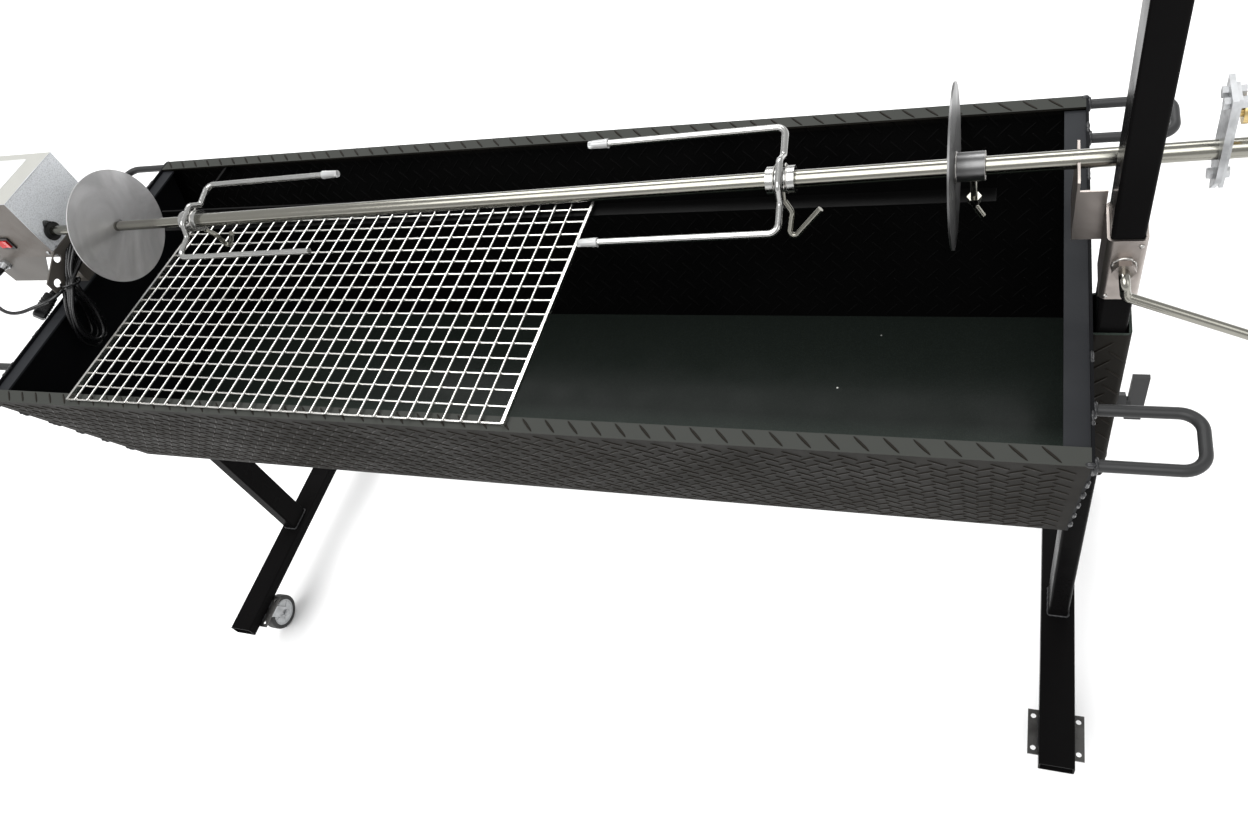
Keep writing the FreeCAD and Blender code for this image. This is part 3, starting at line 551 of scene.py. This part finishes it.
def make_cord(materials):
    """The lead, the loose tied hank and the tail as one line."""
    lead = [(-880, -40.3, 45), (-880, -66, 44), (-874, -90, 36), (-856, -106, 25), (-832, -113, 17),
            (-806, -111, 16), (-782, -103, 19), (-760, -92, 20), (-747, -88, 22), (-735, -78, 25)]
    tail = [(-733, -60, 12), (-738.2, -58, 9), (-750, -57, 8), (-762, -50, 6.5), (-775, -46, 6.5),
            (-784, -51, 6.2), (-784, -61.5, 6)]
    points = list(lead)
    turns = 5
    for turn in range(turns):
        fan = turn / (turns - 1)
        depth = -737 + 20 * fan
        long, wide = 1 - 0.32 * abs(fan - 0.55), 0.7 + 0.35 * ((turn * 2) % 5) / 4
        sway = (-9, 5, -3, 10, 1)[turn]
        loop = [(-62, 23, 0.3), (-94, -8, 0.7), (-110, -40, 0.95), (-108, -66, 1.0), (-96, -80, 1.0),
                (-82, -77, 1.0), (-70, -56, 1.0), (-60, -28, 0.9), (-56, 0, 0.6), (-51, 25, 0.2),
                (-38, 41, 0.4), (-16, 54, 0.8), (2, 64, 1.0), (12, 58, 1.0), (6, 48, 1.0), (-18, 38, 0.7),
                (-46, 31, 0.25)]
        middle_y, middle_z = -52, 26
        for number, (y, z, loose) in enumerate(loop):
            if turn == turns - 1 and number > 9:
                break
            y_out = middle_y + (y - middle_y) * (1 + (wide - 1) * loose * 0.5) + sway * loose * 0.35
            z_out = middle_z + (z - middle_z) * long
            points.append((depth + 3 * math.sin(number * 0.8 + turn), y_out, z_out))
    points += tail
    curve = bpy.data.curves.new("mains_cord", "CURVE")
    curve.dimensions = "3D"
    curve.bevel_depth, curve.bevel_resolution, curve.resolution_u = 3 * MM, 5, 8
    curve.use_fill_caps = True
    spline = curve.splines.new("NURBS")
    spline.points.add(len(points) - 1)
    for point, (x, y, z) in zip(spline.points, points):
        point.co = (x * MM, y * MM, RIM + z * MM, 1)
    spline.order_u = 3
    spline.use_endpoint_u = True
    cord = bpy.data.objects.new("mains_cord", curve)
    bpy.context.collection.objects.link(cord)
    curve.materials.append(materials["cord_rubber"])
    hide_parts("cord_lead", "cord_hank", "cord_tail")
    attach(cord, "trough")


# ---- welds --------------------------------------------------------------------------------------

def ring(centre, normal, radius, count=20, other=None):
    """Points round a circle or an ellipse, ending where they start."""
    side = Vector(normal).orthogonal().normalized()
    lift = Vector(normal).normalized().cross(side)
    return [Vector(centre) + side * radius * math.cos(turn * 2 * math.pi / count)
            + lift * (other or radius) * math.sin(turn * 2 * math.pi / count)
            for turn in range(count + 1)]


def outline_beads(soup, corners, radius):
    """A bead along each side of a closed outline."""
    for first, last in zip(corners, corners[1:] + corners[:1]):
        soup.tube(stretch(first, last, BEAD_STEP), radius, 7, ripple=0.16, wave=0.1)


def make_welds(materials):
    """Stitches along the end walls, lumps at the rim corners and beads where bars and tubes are joined."""
    soup = Soup()
    pan_low, pan_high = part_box("trough_pan")
    for side, sign in (("left", -1), ("right", 1)):
        wall_low, wall_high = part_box("end_wall_" + side)
        face = wall_high.x if sign > 0 else wall_low.x
        for back in (-1, 1):
            top = Vector((face, back * pan_high.y, pan_high.z))
            foot = Vector((face, back * FLOOR_HALF, pan_low.z))
            run = (foot - top).normalized()
            for number in range(6):
                start = top + run * (8 + number * 52) * MM
                length = random.uniform(16, 26) * MM
                soup.tube(stretch(start, start + run * length, 2.4 * MM), random.uniform(1.7, 2.3) * MM,
                          8, ripple=0.14, wave=0.16)
            lump = [top + Vector((-sign * offset * MM, -back * 2.5 * MM, -1.2 * MM))
                    for offset in (-1, 2, 6, 9)]
            soup.tube(lump, 3.2 * MM, 9, wave=0.12)
        rim = Vector((face, 0, wall_high.z))
        for centre in (-228, -150, 30, 120, 205):
            start = rim + Vector((-sign * 1.4 * MM, centre * MM, -0.4 * MM))
            end = start + Vector((0, random.uniform(14, 24) * MM, 0))
            soup.tube(stretch(start, end, 2.4 * MM), random.uniform(1.7, 2.4) * MM, 8,
                      ripple=0.14, wave=0.18)
        for back in (-1, 1):
            for across in (203, 268):
                spot = (face + sign * 1.0 * MM, back * across * MM, RIM - 8 * MM)
                soup.tube(ring(spot, (1, 0, 0), 7.0 * MM, 18), 2.0 * MM, 7, ripple=0.12, wave=0.1)
        socket_low, socket_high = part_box("post_socket_" + side)
        for y in (socket_low.y, socket_high.y):
            for number in range(4):
                base = Vector((face + sign * 0.8 * MM, y, socket_low.z + (10 + number * 72) * MM))
                soup.tube(stretch(base, base + Vector((0, 0, random.uniform(26, 38) * MM)), BEAD_STEP),
                          2.0 * MM, 7, ripple=0.15, wave=0.1)
        leg_low, leg_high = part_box("leg_" + side)
        for level in (leg_low.z + 0.6 * MM, socket_low.z):
            outline = [(leg_low.x, leg_low.y), (leg_high.x, leg_low.y),
                       (leg_high.x, leg_high.y), (leg_low.x, leg_high.y)]
            outline_beads(soup, [Vector((x, y, level)) for x, y in outline], 2.1 * MM)
        foot_low, foot_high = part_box("foot_bar_" + side)
        for back in (-1, 1):
            for x in (foot_low.x, foot_high.x):
                for offset in (-24, 6):
                    base = Vector((x, back * CASTER_HALF + offset * MM, foot_low.z + 0.8 * MM))
                    soup.tube(stretch(base, base + Vector((0, 18 * MM, 0)), BEAD_STEP), 1.8 * MM, 7,
                              ripple=0.15, wave=0.1)
    soup.piece("weld_beads", materials["weld"], "trough", "trough_paint")


def along_spit(x, radial=0.0, turn=0.0):
    """A point at a station of the spit, set off from its axis by a radius at a turn from straight down."""
    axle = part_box("spit_bush")
    centre_y = (axle[0].y + axle[1].y) / 2
    centre_z = (axle[0].z + axle[1].z) / 2
    rise = (x - (axle[0].x + axle[1].x) / 2) * SPIT_SLOPE
    return Vector((x, centre_y + radial * math.sin(turn), centre_z + rise - radial * math.cos(turn)))


def make_spit_detail(materials):
    """Weld rings on the disc collars and fork hubs, and short beads where the fork's arms meet the hub."""
    lean = (1, 0, SPIT_SLOPE)
    for side, sign in (("left", -1), ("right", 1)):
        plate = PLATES[side]
        soup = Soup()
        soup.tube(ring(along_spit(plate + sign * 0.0018), lean, 15.2 * MM, 30), 1.2 * MM, 6, 0.1, 0.1)
        soup.tube(ring(along_spit(plate + sign * 0.0298), lean, 14.6 * MM, 30), 0.7 * MM, 6)
        soup.piece("collar_weld_" + side, materials["weld_steel"], "guard_" + side, "stainless")
    for side, hub in HUBS.items():
        soup = Soup()
        for offset in (-0.0072, 0.0072):
            soup.tube(ring(along_spit(hub + offset), lean, 14.4 * MM, 26), 1.3 * MM, 6, 0.12, 0.12)
        turn = math.radians(13 if side == "left" else 25)
        for reach in (-1, 1):
            lift = Vector((0, -math.sin(turn), math.cos(turn)))
            arm = Vector((0, math.cos(turn), math.sin(turn)))
            spot = along_spit(hub) + arm * reach * 0.0125 + lift * 0.0095
            for offset in (-0.005, 0.005):
                soup.tube([spot + arm * reach * step * MM + Vector((offset, 0, 0)) for step in (-3, 0, 3)],
                          2.2 * MM, 7, wave=0.15)
        soup.piece("hub_weld_" + side, materials["weld_steel"], "meat_fork_" + side, "stainless")


def make_sleeve_detail(materials):
    """Two rivets on the front of the sleeve and the weld round its nut."""
    soup = Soup()
    front = -87.8 * MM
    for x, z in ((0.773, 0.030), (0.797, 0.098)):
        dome = [Vector((x, front + 0.3 * MM, RIM + z)), Vector((x, front - 0.9 * MM, RIM + z)),
                Vector((x, front - 1.6 * MM, RIM + z))]
        rings = []
        for point, radius in zip(dome, (2.6, 2.2, 0.8)):
            rings.append([point + Vector((math.cos(turn * math.pi / 6), 0, math.sin(turn * math.pi / 6)))
                          * radius * MM for turn in range(12)])
        soup.loops(rings)
    nut = Vector((0.785, front - 0.4 * MM, RIM + 72 * MM))
    soup.tube(ring(nut, (0, 1, 0), 10.4 * MM, 24), 1.5 * MM, 6, ripple=0.15, wave=0.15)
    soup.piece("sleeve_weld", materials["weld_steel"], "sleeve", "stainless")


# ---- motor, cord fittings and casters -----------------------------------------------------------

def dome_head(soup, centre, out, radius, rise):
    """A pan-head screw or rivet: stepped rings closing to a flat crown."""
    out = Vector(out)
    side = out.orthogonal().normalized()
    lift = out.cross(side)
    rings = []
    for share, height in ((1.0, -0.1), (1.0, 0.35), (0.86, 0.75), (0.55, 1.0), (0.4, 1.0), (0.36, 0.75)):
        rings.append([Vector(centre) + out * rise * height
                      + (side * math.cos(turn * math.pi / 8) + lift * math.sin(turn * math.pi / 8))
                      * radius * share for turn in range(16)])
    soup.loops(rings)


def slab(soup, low, high, round_by):
    """A thin plate with rounded corners lying level."""
    rings = []
    for level, inset in ((low[2], 0.0), (high[2] - 0.15 * MM, 0.0), (high[2], 0.25 * MM)):
        points = []
        for corner in range(4):
            centre_x = high[0] - round_by if corner in (0, 3) else low[0] + round_by
            centre_y = high[1] - round_by if corner in (0, 1) else low[1] + round_by
            for step in range(4):
                angle = math.pi / 2 * corner + math.pi / 6 * step
                points.append(Vector((centre_x + (round_by - inset) * math.cos(angle),
                                      centre_y + (round_by - inset) * math.sin(angle), level)))
        rings.append(points)
    soup.loops(rings)


def make_motor_detail(materials):
    """A blank plate and folded seams on the cover, its screws, and a shaft collar with a small tab."""
    low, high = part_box("motor_housing")
    label = Soup()
    slab(label, (low.x + 14 * MM, low.y + 16 * MM, high.z),
         (high.x - 42 * MM, high.y - 14 * MM, high.z + 0.5 * MM), 4 * MM)
    label.piece("cover_plate_blank", materials["label"], "trough", "hammertone")
    seams = Soup()
    for x in (low.x, high.x):
        seams.tube([Vector((x, y, high.z)) for y in (low.y, (low.y + high.y) / 2, high.y)], 1.1 * MM, 8)
    seams.tube([Vector((x, low.y, high.z)) for x in (low.x, (low.x + high.x) / 2, high.x)], 1.1 * MM, 8)
    seams.tube([Vector((high.x, low.y, z)) for z in (low.z, (low.z + high.z) / 2, high.z)], 1.0 * MM, 8)
    seams.piece("cover_seams", materials["hammertone_edge"], "trough", "hammertone")
    screws = Soup()
    for x in (low.x + 12 * MM, high.x - 12 * MM):
        dome_head(screws, (x, low.y, low.z + 9 * MM), (0, -1, 0), 3.4 * MM, 2.0 * MM)
    for y, z in ((low.y + 10 * MM, low.z + 10 * MM), (high.y - 12 * MM, low.z + 10 * MM)):
        dome_head(screws, (high.x, y, z), (1, 0, 0), 3.6 * MM, 2.2 * MM)
    screws.piece("cover_screws", materials["zinc"], "trough", "zinc")
    shaft = Soup()
    centre = along_spit(high.x + 1.0 * MM)
    shaft.tube(ring(centre, (1, 0, 0), 14.0 * MM, 36), 1.5 * MM, 8)
    tab = [(-7, 13), (7, 13), (5, 17), (1.2, 21), (-1.2, 21), (-5, 17)]
    shaft.loops([[centre + Vector((offset, y * MM, z * MM)) for y, z in tab]
                 for offset in (-0.4 * MM, 1.8 * MM)])
    shaft.piece("shaft_collar", materials["bush_plastic"], "trough", "black_plastic")


def make_cord_detail(materials):
    """The gland's ribbed cone, the hank's tie and the plug's grip ribs and strain relief."""
    relief = Soup()
    rings = []
    for number in range(15):
        y = -40 - number * 1.7
        swell = 5.2 - number * 0.12 + (0.45 if number % 2 else -0.25)
        z = 45 - 0.4 * (number / 14) ** 2
        rings.append([Vector((-880 * MM + math.cos(turn * math.pi / 8) * swell * MM, y * MM,
                              RIM + z * MM + math.sin(turn * math.pi / 8) * swell * MM))
                      for turn in range(16)])
    relief.loops(rings)
    relief.piece("gland_relief", materials["cord_rubber"], "trough", "cord_rubber")
    tie = Soup()
    lean = Vector((0, 0.36, 0.93))
    middle = Vector((-727 * MM, -54 * MM, RIM + 26 * MM))
    across = lean.cross(Vector((1, 0, 0))).normalized()
    rings = []
    for turn in range(29):
        angle = turn * 2 * math.pi / 28
        out = Vector((1, 0, 0)) * math.cos(angle) * 15.5 * MM + across * math.sin(angle) * 14.5 * MM
        grow = out.normalized() * 1.0 * MM
        rings.append([middle + out + lean * 1.8 * MM, middle + out + grow + lean * 1.8 * MM,
                      middle + out + grow - lean * 1.8 * MM, middle + out - lean * 1.8 * MM])
    tie.loops(rings)
    knob = middle + across * 15.5 * MM
    tie.loops([[knob + Vector((1, 0, 0)) * x * MM + lean * z * MM + across * step * MM
                for x, z in ((-3, -2.6), (3, -2.6), (3, 2.6), (-3, 2.6))] for step in (-1, 3.4)])
    tie.piece("hank_tie", materials["cord_rubber"], "trough", "cord_rubber")
    plug_spot = (-784 * MM, -62 * MM, RIM + 6 * MM)
    turn = Matrix.Translation(plug_spot) @ Matrix.Rotation(math.radians(6), 4, "X")
    turn = turn @ Matrix.Rotation(math.radians(50), 4, "Y")
    ribs = Soup()
    for number in range(5):
        y = -14 - number * 5
        path = [turn @ Vector((x * MM, y * MM, z * MM))
                for x, z in ((-8.5, -7.6), (8.5, -7.6), (10.1, -6), (10.1, 6), (8.5, 7.6), (-8.5, 7.6),
                             (-10.1, 6), (-10.1, -6), (-8.5, -7.6))]
        ribs.tube(path, 0.9 * MM, 6)
    cone = []
    for number in range(9):
        swell = 5.6 - number * 0.22 + (0.4 if number % 2 else -0.2)
        cone.append([turn @ Vector((math.cos(step * math.pi / 7) * swell * MM, (-1 + number * 1.25) * MM,
                                    math.sin(step * math.pi / 7) * swell * MM)) for step in range(14)])
    ribs.loops(cone)
    ribs.piece("plug_ribs", materials["cord_rubber"], "trough", "cord_rubber")


def make_caster_detail(materials):
    """Hub rings, spokes and tyre ridges on the wheels; a ball race, ribs and axle heads on the forks."""
    for end, back in (("front", -1), ("back", 1)):
        for side in ("left", "right"):
            name = end + "_" + side
            low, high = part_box("caster_wheel_" + name)
            centre = (low + high) / 2
            hub, tread = Soup(), Soup()
            for face in (-1, 1):
                x = centre.x + face * (high.x - low.x) / 2
                hub.tube(ring((x, centre.y, centre.z), (1, 0, 0), 25.5 * MM, 40), 1.2 * MM, 7)
                hub.tube(ring((x, centre.y, centre.z), (1, 0, 0), 11 * MM, 26), 1.3 * MM, 7)
                for spoke in range(5):
                    angle = spoke * 2 * math.pi / 5 + 0.3
                    out = Vector((0, math.cos(angle), math.sin(angle)))
                    start = Vector((x, centre.y, centre.z))
                    hub.tube([start + out * reach * MM for reach in (11, 15, 20, 25)], 1.5 * MM, 7)
                tyre_x = centre.x + face * 10.3 * MM
                tread.tube(ring((tyre_x, centre.y, centre.z), (1, 0, 0), 36.2 * MM, 60), 0.7 * MM, 6)
            hub.piece("hub_ribs_" + name, materials["hub_plastic"], "wheel_" + name, "hub_plastic")
            tread.piece("tyre_ridges_" + name, materials["tyre"], "wheel_" + name, "tyre")
            fork_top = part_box("caster_fork_" + name)[1].z
            pin = Vector((centre.x, back * CASTER_HALF, fork_top))
            race, rivets = Soup(), Soup()
            race.tube(ring(pin - Vector((0, 0, 1.6 * MM)), (0, 0, 1), 22.2 * MM, 40), 1.5 * MM, 8)
            for face in (-1, 1):
                x = centre.x + face * 22 * MM
                dome_head(rivets, (x, centre.y, centre.z), (face, 0, 0), 4.6 * MM, 1.6 * MM)
                edge = centre.x + face * 18.2 * MM
                race.tube([Vector((edge, pin.y - back * along * MM, pin.z - drop * MM))
                           for along, drop in ((-9, 4), (-3, 18), (8, 38), (18, 52))], 1.0 * MM, 7)
            race.piece("fork_race_" + name, materials["zinc"], "swivel_" + name, "zinc")
            rivets.piece("axle_heads_" + name, materials["zinc"], "swivel_" + name, "zinc")


# ---- grill --------------------------------------------------------------------------------------

def make_grill_detail(materials):
    """A weld spot where each pair of wires crosses."""
    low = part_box("mesh_grill")[0]
    pitch, front = 25 * MM, -265 * MM
    lean = 9 / 375
    soup = Soup()
    for row in range(16):
        for column in range(28):
            x = low.x + 17 * MM + column * pitch + random.uniform(-0.6, 0.6) * MM
            y = front + row * pitch
            z = RIM + 3.4 * MM - (y - front) * lean
            soup.lens(Vector((x, y, z)), Vector((1, 0, 0)), Vector((0, 1, 0)), Vector((0, 0, 1)),
                      5.4 * MM, 4.2 * MM, 1.0 * MM)
    soup.piece("mesh_welds", materials["wire"], "grill", "wire")


materials = make_materials()
make_camera()
make_cord(materials)
make_stage()
dress_frame(materials)
make_tread(materials)
make_welds(materials)
make_spit_detail(materials)
make_sleeve_detail(materials)
make_motor_detail(materials)
make_cord_detail(materials)
make_caster_detail(materials)
make_grill_detail(materials)
